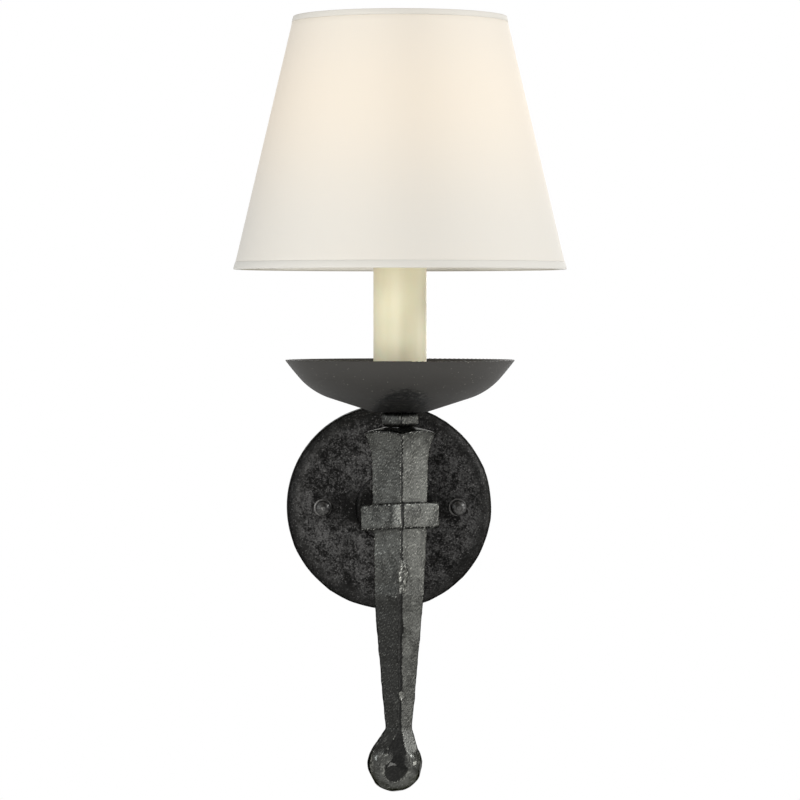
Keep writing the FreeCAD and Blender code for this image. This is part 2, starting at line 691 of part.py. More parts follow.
def socket_body():
    bore = SOCKET_DIA / 2 - SOCKET_WALL
    body = disc_between(SOCKET_DIA / 2, SOCKET_FOOT, SOCKET_TOP)
    body = body.cut(disc_between(bore, SOCKET_SEAT, SOCKET_TOP))
    body = body.cut(disc_between(PLUNGER_STEM_DIA / 2 + FIT, SOCKET_FOOT, SOCKET_SEAT))
    hole_end = SOCKET_FOOT + SOCKET_FLOOR / 2 + FIT
    for x in rivet_places():
        body = body.cut(disc_between(RIVET_DIA / 2 + FIT, SOCKET_FOOT, hole_end, x))
    return on_axis(body)


def screw_shell():
    outer = SOCKET_DIA / 2 - SOCKET_WALL - FIT
    inner = outer - SHELL_WALL
    low = SOCKET_SEAT
    return on_axis(turned([
        (outer - SHELL_FLANGE, low),
        (outer, low),
        (outer, SOCKET_TOP - SHELL_LIFT),
        (inner, SOCKET_TOP - SHELL_LIFT),
        (inner, low + SHELL_WALL),
        (outer - SHELL_FLANGE, low + SHELL_WALL),
    ]))


def contact_plunger():
    head = disc_between(PLUNGER_HEAD_DIA / 2, PLUNGER_HEAD_FOOT, PLUNGER_HEAD_FOOT + PLUNGER_HEAD_THICK)
    shank = disc_between(PLUNGER_STEM_DIA / 2, SOCKET_FOOT - BRACKET_THICK, PLUNGER_HEAD_FOOT)
    return on_axis(head.fuse(shank).removeSplitter())


def contact_spring():
    wire = SPRING_WIRE_DIA / 2
    radius = SPRING_DIA / 2
    rise = SPRING_LENGTH - SPRING_WIRE_DIA - 2 * FIT
    helix = Part.makeHelix(rise / SPRING_TURNS, rise, radius)
    start = Vector(radius, 0, 0)
    ring = Part.Wire(Part.Circle(start, Vector(0, 1, 0), wire).toShape())
    coil = Part.Wire(helix).makePipeShell([ring], True, True)
    return on_axis(coil.translated(Vector(0, 0, SOCKET_SEAT + wire + FIT)))


def candle_cover():
    return on_axis(tube(COVER_DIA / 2, COVER_DIA / 2 - COVER_WALL, COVER_FOOT, COVER_TOP))


# ---- Bulb --------------------------------------------------------------------------------------
def globe_foot():
    """Outer radius, inner radius and height of the globe's open edge."""
    globe = BULB_DIA / 2
    turn = math.radians(BULB_NECK_TURN)
    drop = globe * math.sin(turn)
    return globe * math.cos(turn), math.sqrt((globe - GLASS_WALL) ** 2 - drop ** 2), GLOBE_Z - drop


def bulb_glass():
    """The frosted globe, a shell that is open where it stands on its housing."""
    globe = BULB_DIA / 2
    inner = globe - GLASS_WALL
    outer_foot, inner_foot, foot = globe_foot()
    widest = math.radians(22.5)
    return on_axis(turned([
        (outer_foot, foot),
        ((globe * math.cos(widest), GLOBE_Z + globe * math.sin(widest)), (0, GLOBE_Z + globe)),
        (0, GLOBE_Z + inner),
        ((inner * math.cos(widest), GLOBE_Z + inner * math.sin(widest)), (inner_foot, foot)),
    ]))


def bulb_housing():
    """The moulded neck that fills the screw base and sweeps out to carry the globe."""
    neck = BULB_NECK_DIA / 2
    turn = math.radians(BULB_NECK_TURN)
    outer_foot, inner_foot, foot = globe_foot()
    sweep = (outer_foot - neck) / (1 - math.cos(turn))
    neck_top = foot - sweep * math.sin(turn)
    half = turn / 2
    base_edge = BULB_TIP + BASE_TOP
    seat = BASE_DIA / 2 - BASE_WALL - FIT
    return on_axis(turned([
        (0, base_edge - HOUSING_SEAT),
        (seat, base_edge - HOUSING_SEAT),
        (seat, base_edge + FIT),
        (neck, base_edge + 2 * FIT),
        (neck, neck_top),
        ((neck + sweep * (1 - math.cos(half)), neck_top + sweep * math.sin(half)), (outer_foot, foot)),
        (inner_foot - FIT, foot),
        (inner_foot - FIT, foot + GLOBE_SPIGOT),
        (0, foot + GLOBE_SPIGOT),
    ]))


def bulb_base():
    outer = BASE_DIA / 2
    low = BULB_TIP + BASE_BOTTOM
    return on_axis(turned([
        (0, low),
        (outer, low),
        (outer, BULB_TIP + BASE_TOP),
        (outer - BASE_WALL, BULB_TIP + BASE_TOP),
        (outer - BASE_WALL, low + BASE_WALL),
        (0, low + BASE_WALL),
    ]))


def bulb_insulator():
    low = BULB_TIP + TIP_THICK
    return on_axis(turned([
        (0, low),
        (TIP_DIA / 2, low),
        (BASE_CONE_DIA / 2, BULB_TIP + BASE_BOTTOM),
        (0, BULB_TIP + BASE_BOTTOM),
    ]))


def bulb_tip():
    radius = TIP_DIA / 2
    return on_axis(turned([
        (0, BULB_TIP),
        (radius * 0.6, BULB_TIP),
        (radius, BULB_TIP + TIP_THICK * 0.6),
        (radius, BULB_TIP + TIP_THICK),
        (0, BULB_TIP + TIP_THICK),
    ]))


# ---- Clip --------------------------------------------------------------------------------------
def clip_ring_radius():
    """Globe middle to the middle of the clip wire."""
    return BULB_DIA / 2 + CLIP_WIRE_DIA / 2 + FIT


def clip_leg_bend():
    """Start, bend and end of the bend of the right leg, which leaves its ring along the globe's tangent."""
    reach = clip_ring_radius()
    top = math.radians(2 * CLIP_RING_ANGLE)
    start = Vector(reach * math.cos(top), 0, GLOBE_Z + reach * math.sin(top))
    slope = Vector(-math.sin(top), 0, math.cos(top))
    corner = start + slope * ((start.x - CLIP_LEG_GAP / 2) / -slope.x)
    trim = CLIP_BEND * math.tan((math.pi / 2 - math.atan2(slope.z, -slope.x)) / 2)
    bend_end = corner + Vector(0, 0, trim)
    centre = bend_end + Vector(CLIP_BEND, 0, 0)
    bend_middle = centre + (corner - centre).normalize() * CLIP_BEND
    return start, corner - slope * trim, bend_middle, bend_end


def tab_foot():
    return clip_leg_bend()[3].z + CLIP_LEG_BELOW_TAB


def clip_half(side):
    """One ring that rests on the globe, and the leg that carries it from the hub."""
    reach = clip_ring_radius()
    angle = math.radians(CLIP_RING_ANGLE)
    wire = CLIP_WIRE_DIA / 2
    way = Vector(side * math.cos(angle), 0, math.sin(angle))
    centre = Vector(0, 0, GLOBE_Z) + way * (reach * math.cos(angle))
    ring = Part.makeTorus(reach * math.sin(angle), wire, centre, way)
    start, bend_start, bend_middle, bend_end = clip_leg_bend()
    end = Vector(bend_end.x, 0, tab_foot() + CLIP_LEG_IN_TAB)
    leg = wire_along([
        Part.makeLine(start, bend_start),
        Part.Arc(bend_start, bend_middle, bend_end).toShape(),
        Part.makeLine(bend_end, end),
    ], wire)
    if side < 0:
        leg = leg.mirror(Vector(), Vector(1, 0, 0))
    return ring.fuse(leg)


def bulb_clip():
    return on_axis(Part.makeCompound([clip_half(-1), clip_half(1)]))


def clip_hub():
    """A folded strip: a sleeve round the cross wire and a tab that holds the two legs."""
    sleeve = Part.makeCylinder(HUB_DIA / 2, HUB_LENGTH, Vector(-HUB_LENGTH / 2, 0, CROSS_Z), Vector(1, 0, 0))
    top = CROSS_Z - HUB_DIA / 4
    foot = tab_foot()
    tab = Part.makeBox(TAB_WIDTH, TAB_THICK, top - foot, Vector(-TAB_WIDTH / 2, -TAB_THICK / 2, foot))
    body = sleeve.fuse(tab)
    for side in (-1, 1):
        x = side * CLIP_LEG_GAP / 2
        body = body.cut(disc_between(CLIP_WIRE_DIA / 2 + FIT, foot, foot + CLIP_LEG_IN_TAB + FIT, x))
    bore = Part.makeCylinder(FRAME_WIRE_DIA / 2 + FIT, HUB_LENGTH, Vector(-HUB_LENGTH / 2, 0, CROSS_Z),
                             Vector(1, 0, 0))
    return on_axis(body.cut(bore))


# ---- Shade -------------------------------------------------------------------------------------
def shade_radius(z):
    """The cloth's outer radius at height z."""
    share = (z - SHADE_FOOT) / SHADE_HEIGHT
    return (SHADE_BOTTOM_DIA + (SHADE_TOP_DIA - SHADE_BOTTOM_DIA) * share) / 2


def cone(outer, inner, low, high):
    """A conical shell that lies between two distances inside the cloth's outer face."""
    return turned([
        (shade_radius(low) - outer, low),
        (shade_radius(high) - outer, high),
        (shade_radius(high) - inner, high),
        (shade_radius(low) - inner, low),
    ])


def shade_cloth():
    return on_axis(cone(0, CLOTH_THICK, SHADE_FOOT, SHADE_TOP))


def shade_liner():
    return on_axis(cone(CLOTH_THICK, CLOTH_THICK + LINER_THICK, SHADE_FOOT, SHADE_TOP))


def ring_place(z):
    return shade_radius(z) - CLOTH_THICK - LINER_THICK - FRAME_WIRE_DIA / 2 - FIT


def top_ring_z():
    return SHADE_TOP - FRAME_WIRE_DIA / 2


def shade_top_frame():
    """The top ring and the cross wire that drops into the shade and carries the clip's hub."""
    wire = FRAME_WIRE_DIA / 2
    ring_z = top_ring_z()
    ring_r = ring_place(ring_z)
    ring = Part.makeTorus(ring_r, wire, Vector(0, 0, ring_z), Vector(0, 0, 1))
    flat = ring_r * CROSS_FLAT_SHARE
    rim = Vector(ring_r, 0, ring_z)
    corner = Vector(flat, 0, CROSS_Z)
    way = (rim - corner).normalize()
    trim = CROSS_BEND * math.tan(math.atan2(way.z, way.x) / 2)
    before = corner - Vector(trim, 0, 0)
    after = corner + way * trim
    centre = before + Vector(0, 0, CROSS_BEND)
    middle = centre + (corner - centre).normalize() * CROSS_BEND
    half = wire_along([
        Part.makeLine(Vector(0, 0, CROSS_Z), before),
        Part.Arc(before, middle, after).toShape(),
        Part.makeLine(after, rim),
    ], wire)
    other = half.mirror(Vector(), Vector(1, 0, 0))
    return on_axis(ring.fuse([half, other]).removeSplitter())


def cross_wire_stops():
    """Crimped rings on the cross wire that keep the hub in the middle."""
    start = HUB_LENGTH / 2 + STOP_PLAY
    stops = []
    for low in (start, -start - STOP_WIDTH):
        ring = Part.makeCylinder(STOP_DIA / 2, STOP_WIDTH, Vector(low, 0, CROSS_Z), Vector(1, 0, 0))
        hole = Part.makeCylinder(FRAME_WIRE_DIA / 2, STOP_WIDTH, Vector(low, 0, CROSS_Z), Vector(1, 0, 0))
        stops.append(ring.cut(hole))
    return on_axis(Part.makeCompound(stops))


def shade_bottom_ring():
    z = SHADE_FOOT + FRAME_WIRE_DIA / 2
    return on_axis(Part.makeTorus(ring_place(z), FRAME_WIRE_DIA / 2, Vector(0, 0, z), Vector(0, 0, 1)))


def trim(edge, inward, height):
    """Tape folded over an edge of the shade. inward is +1 at the foot and -1 at the top."""
    outer = shade_radius(edge) + TRIM_THICK
    cover = shade_radius(edge) - CLOTH_THICK - LINER_THICK - FRAME_WIRE_DIA - FIT
    far = edge + inward * height
    return on_axis(turned([
        (cover, edge),
        (shade_radius(edge), edge),
        (shade_radius(far), far),
        (shade_radius(far) + TRIM_THICK, far),
        (outer, edge - inward * TRIM_THICK),
        (cover, edge - inward * TRIM_THICK),
    ]))


# ---- All pieces --------------------------------------------------------------------------------
PIECES = {
    "crossbar": crossbar,
    "crossbar_studs": crossbar_studs,
    "stud_lock_nuts": stud_lock_nuts,
    "ground_screw": ground_screw,
    "backplate": backplate,
    "arm_boss": arm_boss,
    "left_washer": lambda: at_stud(washer(WASHER_DIA), -1),
    "right_washer": lambda: at_stud(washer(WASHER_DIA), 1),
    "left_ball_nut": lambda: at_stud(ball_nut(), -1),
    "right_ball_nut": lambda: at_stud(ball_nut(), 1),
    "support_arm": arm,
    "arm_tube": arm_tube,
    "plate_washer": plate_washer,
    "plate_nut": plate_nut,
    "stem_strap": strap,
    "torch_stem": stem,
    "stem_collar": collar,
    "head_tube": head_tube,
    "wax_dish": dish,
    "dish_washer": dish_washer,
    "dish_nut": dish_nut,
    "bracket_foot": bracket_foot,
    "bracket_nut": bracket_nut,
    "bracket_post": bracket_post,
    "clamp_screw": clamp_screw,
    "socket_rivets": socket_rivets,
    "socket_body": socket_body,
    "screw_shell": screw_shell,
    "contact_plunger": contact_plunger,
    "contact_spring": contact_spring,
    "candle_cover": candle_cover,
    "bulb_glass": bulb_glass,
    "bulb_housing": bulb_housing,
    "bulb_base": bulb_base,
    "bulb_insulator": bulb_insulator,
    "bulb_tip": bulb_tip,
    "bulb_clip": bulb_clip,
    "clip_hub": clip_hub,
    "shade_cloth": shade_cloth,
    "shade_liner": shade_liner,
    "shade_top_frame": shade_top_frame,
    "cross_wire_stops": cross_wire_stops,
    "shade_bottom_ring": shade_bottom_ring,
    "shade_top_trim": lambda: trim(SHADE_TOP, -1, TRIM_TOP),
    "shade_bottom_trim": lambda: trim(SHADE_FOOT, 1, TRIM_BOTTOM),
}

os.makedirs("parts", exist_ok=True)
for name, make in PIECES.items():
    piece = make()
    if not piece.isValid() or any(solid.Volume <= 0 for solid in piece.Solids) or not piece.Solids:
        raise ValueError(f"{name} is not a sound solid")
    piece.exportStep(f"parts/{name}.step")
    print(f"{name:20s} {len(piece.Solids)} solid(s) {piece.Volume / 1000:9.3f} cm3")
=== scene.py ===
import math

import bmesh
import bpy
from mathutils import Matrix, Vector, noise


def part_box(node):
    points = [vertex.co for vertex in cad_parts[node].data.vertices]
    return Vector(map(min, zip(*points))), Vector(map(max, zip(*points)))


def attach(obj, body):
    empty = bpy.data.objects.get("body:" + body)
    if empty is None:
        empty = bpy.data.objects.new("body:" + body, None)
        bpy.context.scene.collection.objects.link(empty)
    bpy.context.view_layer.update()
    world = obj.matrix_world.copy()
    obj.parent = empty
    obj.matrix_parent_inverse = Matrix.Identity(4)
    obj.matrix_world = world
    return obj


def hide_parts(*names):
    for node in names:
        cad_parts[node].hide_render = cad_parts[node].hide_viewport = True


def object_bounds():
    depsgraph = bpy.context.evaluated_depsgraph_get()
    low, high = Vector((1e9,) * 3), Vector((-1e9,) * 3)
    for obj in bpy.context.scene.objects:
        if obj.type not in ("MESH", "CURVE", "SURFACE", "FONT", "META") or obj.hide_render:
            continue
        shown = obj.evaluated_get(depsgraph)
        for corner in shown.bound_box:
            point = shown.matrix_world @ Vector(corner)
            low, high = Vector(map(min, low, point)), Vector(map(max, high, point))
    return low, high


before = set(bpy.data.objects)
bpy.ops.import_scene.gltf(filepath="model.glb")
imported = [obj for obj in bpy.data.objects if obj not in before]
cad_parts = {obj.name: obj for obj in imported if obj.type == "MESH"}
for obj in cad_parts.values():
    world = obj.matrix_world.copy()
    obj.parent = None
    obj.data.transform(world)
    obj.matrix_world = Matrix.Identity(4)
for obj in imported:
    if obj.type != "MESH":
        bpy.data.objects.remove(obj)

cad_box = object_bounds()

# ==== Wall bracket ==========================================================================
# A zinc plated steel strip that is screwed to the outlet box. Two studs stand in it, held by
# lock nuts, and a small ground screw. All of it is hidden behind the backplate.

MM = 0.001


class Value:
    """A number that varies over a surface. Sums written with it become Math nodes."""

    def __init__(self, tree, socket):
        self.tree = tree
        self.socket = socket

    def sum(self, operation, first, second):
        node = self.tree.nodes.new("ShaderNodeMath")
        node.operation = operation
        for place, value in zip(node.inputs, (first, second)):
            join(self.tree, place, value)
        return Value(self.tree, node.outputs[0])

    def __add__(self, other):
        return self.sum("ADD", self, other)

    def __sub__(self, other):
        return self.sum("SUBTRACT", self, other)

    def __mul__(self, other):
        return self.sum("MULTIPLY", self, other)

    def __radd__(self, other):
        return self.sum("ADD", other, self)

    def __rsub__(self, other):
        return self.sum("SUBTRACT", other, self)

    def __rmul__(self, other):
        return self.sum("MULTIPLY", other, self)


def join(tree, place, value):
    """Fills a socket with a link, a number or a colour."""
    if isinstance(value, Value):
        tree.links.new(value.socket, place)
    elif place.type == "RGBA" and len(value) == 3:
        place.default_value = (*value, 1.0)
    else:
        place.default_value = value


class Finish:
    """The material of one kind of surface, built on Object coordinates in metres."""

    def __init__(self, name, **fixed):
        self.material = bpy.data.materials.new(name)
        self.material.use_nodes = True
        self.tree = self.material.node_tree
        self.surface = self.tree.nodes["Principled BSDF"]
        self.place = self.node("ShaderNodeTexCoord", output="Object")
        self.set({socket.replace("_", " "): value for socket, value in fixed.items()})

    def node(self, kind, settings=None, values=None, output=0):
        node = self.tree.nodes.new(kind)
        for setting, choice in (settings or {}).items():
            setattr(node, setting, choice)
        for socket, value in (values or {}).items():
            join(self.tree, node.inputs[socket], value)
        return Value(self.tree, node.outputs[output])

    def set(self, values):
        for socket, value in values.items():
            join(self.tree, self.surface.inputs[socket], value)

    def stretched(self, x, y, z):
        """The coordinates with each axis multiplied, for grain that runs one way."""
        return self.node("ShaderNodeMapping", values={"Vector": self.place, "Scale": (x, y, z)})

    def slanted(self, place, angle, length):
        """The coordinates for grain that runs aslant in the XZ plane and is that much longer than wide."""
        return self.node("ShaderNodeMapping", {"vector_type": "TEXTURE"}, {
            "Vector": place, "Rotation": (0, angle, 0), "Scale": (1, 1, length)})

    def grain(self, size, detail=3.0, rough=0.55, on=None, warp=0.0):
        """Soft random mottling from 0 to 1, whose blotches are about that size in metres."""
        return self.node("ShaderNodeTexNoise", values={
            "Vector": on or self.place, "Scale": 1 / size, "Detail": detail,
            "Roughness": rough, "Distortion": warp}, output="Fac")

    def band(self, value, low, high, start=0.0, end=1.0):
        """value mapped smoothly from low..high to start..end, and held beyond them."""
        return self.node("ShaderNodeMapRange", {"interpolation_type": "SMOOTHSTEP"}, {
            "Value": value, "From Min": low, "From Max": high, "To Min": start, "To Max": end})

    def mixed(self, share, first, second):
        node = self.tree.nodes.new("ShaderNodeMix")
        node.data_type = "RGBA"
        for place, value in zip((node.inputs[0], node.inputs[6], node.inputs[7]), (share, first, second)):
            join(self.tree, place, value)
        return Value(self.tree, node.outputs[2])

    def height(self, axis="Z"):
        return self.node("ShaderNodeSeparateXYZ", values={"Vector": self.place}, output=axis)

    def relief(self, height, depth):
        """Bumps height, from 0 to 1, by that depth in metres."""
        return self.node("ShaderNodeBump", values={"Height": height, "Distance": depth, "Strength": 1.0})

    def distance(self, centre, shares):
        """How far a point is from centre, with the way along each axis multiplied by its share."""
        offset = self.node("ShaderNodeVectorMath", {"operation": "SUBTRACT"}, {0: self.place, 1: centre})
        shared = self.node("ShaderNodeVectorMath", {"operation": "MULTIPLY"}, {0: offset, 1: shares})
        return self.node("ShaderNodeVectorMath", {"operation": "LENGTH"}, {0: shared}, output="Value")


def dress(finish, *nodes):
    for name in nodes:
        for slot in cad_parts[name].material_slots:
            slot.material = finish.material


def plated(name, colour, dull, roughness):
    """Plated sheet metal: faint spangle, thin scratches and dulled patches."""
    made = Finish(name, Metallic=1.0)
    patches = made.grain(6 * MM)
    scratches = made.grain(0.5 * MM, 2.0, on=made.stretched(1, 1, 0.12))
    made.set({
        "Base Color": made.mixed(made.band(patches, 0.35, 0.7), colour, dull),
        "Roughness": roughness + 0.2 * patches + 0.08 * scratches,
        "Normal": made.relief(scratches, 0.02 * MM),
    })
    return made


zinc = plated("zinc plate", colour=(0.62, 0.63, 0.63), dull=(0.42, 0.43, 0.42), roughness=0.24)
dress(zinc, "crossbar", "crossbar_studs", "stud_lock_nuts", "arm_tube", "plate_washer", "plate_nut",
      "head_tube", "dish_washer", "dish_nut", "bracket_foot", "bracket_nut", "bracket_post", "clamp_screw")
green_screw = plated("green ground screw", colour=(0.05, 0.3, 0.1), dull=(0.04, 0.2, 0.07), roughness=0.3)
dress(green_screw, "ground_screw")

# ==== Backplate =============================================================================
# A round pan of sheet iron, dished over a form so that its edge rolls back to the wall, then
# blackened and waxed. The patina is mottled grey; a shadow round the fittings and shade at the edge are
# painted.

PLATE_GRAIN = 1.0 * MM
WEAR_REACH = 8
WEAR_DEPTH = 0.2 * MM
BLACK_PATINA = (0.006, 0.0059, 0.0057)
GREY_PATINA = (0.052, 0.051, 0.05)
# The colour of the painted shade at the plate's rolled edge.
EDGE_PAINTED_SHADE = (0.016, 0.0158, 0.0152)
RUBBED_FLECK = (0.2, 0.195, 0.19)
RIM_PAINTED_SHADE = (12 * MM, 3 * MM)  # inside the edge, where the painted shade on the rim starts and is full
PAINTED_SHADOW_REACH = (12 * MM, 25 * MM)  # from the middle, where the painted shadow round the fittings starts to fade and ends
PAINTED_SHADOW_SHARES = (0.35, 0, 1)  # the painted shadow reaches further sideways, along the line of the nuts
RIM_TRUE = (1.5 * MM, 5.5 * MM)  # from the wall, where the blows start and are full
IRON_EDGE_TINT = (0.25, 0.25, 0.24, 1.0)
HAMMER_SEED = 1795572864  # noise_vector's offsets follow the clock unless a seed is set
plate_low, plate_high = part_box("backplate")
plate_radius = (plate_high.x - plate_low.x) / 2
noise.seed_set(HAMMER_SEED)


def merged_copy(node):
    """A bmesh of a CAD piece with its loose triangles joined."""
    made = bmesh.new()
    made.from_mesh(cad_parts[node].data)
    bmesh.ops.remove_doubles(made, verts=made.verts, dist=0.002 * MM)
    return made


def piece_from(made, name, finish):
    mesh = bpy.data.meshes.new(name)
    made.to_mesh(mesh)
    made.free()
    mesh.polygons.foreach_set("use_smooth", [True] * len(mesh.polygons))
    mesh.materials.append(finish.material)
    piece = bpy.data.objects.new(name, mesh)
    bpy.context.scene.collection.objects.link(piece)
    return piece


def evened(made, voxel):
    """Rebuilds a closed mesh with an even skin, which softens its edges as forging does."""
    mesh = bpy.data.meshes.new("even")
    made.to_mesh(mesh)
    made.free()
    holder = bpy.data.objects.new("even", mesh)
    bpy.context.scene.collection.objects.link(holder)
    remesh = holder.modifiers.new("even", "REMESH")
    remesh.mode = "VOXEL"
    remesh.voxel_size = voxel
    even = bmesh.new()
    even.from_object(holder, bpy.context.evaluated_depsgraph_get())
    bpy.data.objects.remove(holder)
    return even


def smoothed(made, times):
    for _ in range(times):
        bmesh.ops.smooth_vert(made, verts=made.verts, factor=0.5, use_axis_x=True, use_axis_y=True,
                              use_axis_z=True)


def hammered(made, blows, depth, scale_size, scale_depth, soften=2, still=None, lift=None):
    """Beats a skin: shallow bowls of the size of the blows with ridges between them, and fire scale.

    The ridges and hollows are kept in the attribute "wear", from about -1 to 1, for the material,
    and how squarely a point faces along X or Y, as a square bar's corners do here, in "corner",
    which is -1 on a flake.
    still(point) may return a share by which the blows are held back, lift(point) a flake's height.
    """
    smoothed(made, soften)
    made.normal_update()
    corner = made.verts.layers.float.new("corner")
    for vert in made.verts:
        vert[corner] = max(abs(vert.normal.x), abs(vert.normal.y))
    moves = []
    for vert in made.verts:
        raised = lift(vert.co) if lift else 0.0
        if raised:
            vert[corner] = -1.0
        point = vert.co / blows
        point += 0.35 * noise.noise_vector(point * 0.7)
        near = noise.voronoi(point)[0][0]
        bowl = min(near, 0.9) ** 2 - 0.35
        crust = noise.fractal(vert.co / scale_size, 0.9, 2.0, 3)
        share = still(vert.co) if still else 1.0
        moves.append(share * (depth * bowl + scale_depth * crust) + raised)
    for vert, move in zip(made.verts, moves):
        vert.co += vert.normal * move
    made.normal_update()
    beaten = [vert.co.copy() for vert in made.verts]
    normals = [vert.normal.copy() for vert in made.verts]
    smoothed(made, WEAR_REACH)
    wear = made.verts.layers.float.new("wear")
    for vert, point, normal in zip(made.verts, beaten, normals):
        vert[wear] = max(-1.0, min(1.0, (point - vert.co).dot(normal) / WEAR_DEPTH))
        vert.co = point
    return made


def marked(made_finish, name):
    """A mark that hammering left on each point: "wear", above 0 on ridges, or "corner"."""
    return made_finish.node("ShaderNodeAttribute", {"attribute_name": name}, output="Fac")


def held_at_wall(point):
    """The plate's rim lies true against the wall, so the blows fade out there."""
    near, far = RIM_TRUE
    return max(0.0, min(1.0, (-point.y - near) / (far - near)))


def plate_finish():
    """Mottled patina with rubbed flecks, painted shade at the rim and a painted shadow along the line of the
    fittings.
    """
    made = Finish("plate patina", Metallic=1.0, Specular_Tint=IRON_EDGE_TINT)
    patches = made.grain(13 * MM, 6.0, 0.68, warp=0.6)
    blotches = made.grain(2.4 * MM, 5.0, 0.7)
    fine = made.grain(1.1 * MM, 3.0, 0.7)
    specks = made.band(fine, 0.6, 0.72)
    from_middle = made.distance((0, 0, 0), (1, 0, 1))
    inner, outer = (plate_radius - inside for inside in RIM_PAINTED_SHADE)
    # Painted shade: the rolled rim is darkened.
    rim = made.band(from_middle + 3 * MM * blotches, inner, outer)
    cloud = made.band(0.32 * patches + 0.28 * blotches + 0.4 * fine, 0.44, 0.58)
    dark = made.mixed(cloud, BLACK_PATINA, GREY_PATINA)
    rolled = made.mixed(0.65 * rim, dark, EDGE_PAINTED_SHADE)
    # Painted shadow of the stem and arm: black round the fittings, reaching sideways along the nuts.
    from_line = made.distance((0, 0, 0), PAINTED_SHADOW_SHARES)
    painted_shadow = made.band(from_line + 9 * MM * blotches, *PAINTED_SHADOW_REACH, 1.0, 0.0)
    kept = made.mixed(painted_shadow, rolled, BLACK_PATINA)
    made.set({
        "Base Color": made.mixed(0.4 * specks * (0.3 + cloud), kept, RUBBED_FLECK),
        "Roughness": 0.5 - 0.12 * cloud + 0.1 * patches,
        "Normal": made.relief(0.7 * blotches + 0.3 * specks, 0.3 * MM),
    })
    return made


plate_iron = plate_finish()
plate = piece_from(
    hammered(evened(merged_copy("backplate"), PLATE_GRAIN), blows=13 * MM, depth=0.5 * MM,
             scale_size=4 * MM, scale_depth=0.08 * MM, still=held_at_wall),
    "backplate_pan", plate_iron)
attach(plate, "wall_frame")
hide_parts("backplate")

# ==== Ball nuts and washers =================================================================
# Two turned ball nuts whose sides were hammered while hot, each on a thin domed washer. They
# clamp the backplate on its studs.

NUT_GRAIN = 0.32 * MM
NUT_DARK = (0.03, 0.0295, 0.029)
NUT_GREY = (0.1, 0.098, 0.094)


def nut_finish():
    """Blackened iron that hands have rubbed grey on its ridges."""
    made = Finish("ball nut patina", Metallic=1.0)
    wear = marked(made, "wear")
    mottle = made.grain(1.6 * MM, 3.0)
    made.set({
        "Base Color": made.mixed(made.band(wear + 0.6 * mottle, 0.1, 0.9), NUT_DARK, NUT_GREY),
        "Roughness": 0.28 + 0.2 * mottle,
        "Normal": made.relief(mottle, 0.12 * MM),
    })
    return made


nut_iron = nut_finish()
for side in ("left", "right"):
    for kind, label, depth in (("ball_nut", "cap_ball", 0.32 * MM), ("washer", "cap_washer", 0.1 * MM)):
        body = f"{side}_{kind}"
        fitting = piece_from(
            hammered(evened(merged_copy(body), NUT_GRAIN), blows=3.4 * MM, depth=depth,
                     scale_size=1.2 * MM, scale_depth=0.03 * MM, soften=1),
            f"{side}_{label}", nut_iron)
        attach(fitting, body)
        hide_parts(body)

# ==== Arm, boss and strap ===================================================================
# A short square bar, spread at its foot over a round boss, meets the back corner of the stem.
# A strap forged square wraps the stem there, and a threaded tube runs through all of them.

FLAKE = 1.1 * MM
FLAKE_SLANT = 0.7
FLAKE_LENGTH = 1.8
FORGED_DARK = (0.014, 0.014, 0.0135)
FORGED_GREY = (0.08, 0.081, 0.075)
FORGED_BURNT = (0.034, 0.034, 0.032)
# The colour of the painted highlights on the forged iron.
FORGED_PAINTED_HIGHLIGHT = (0.45, 0.45, 0.41)
TAIL_BURNT = (-12 * MM, -50 * MM)  # heights where the tail's burnt scale starts and is full
BALL_TOP = (30 * MM, 24 * MM)  # above the stem's foot, where the ball's gloss starts and is full
LEFT_FACE = (2.5 * MM, -0.5 * MM)  # across, where the left face starts and is full
PAINTED_HIGHLIGHT_PATCH = (-5 * MM, -1 * MM)  # across, where the strap's painted highlight starts and is full
stem_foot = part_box("torch_stem")[0].z


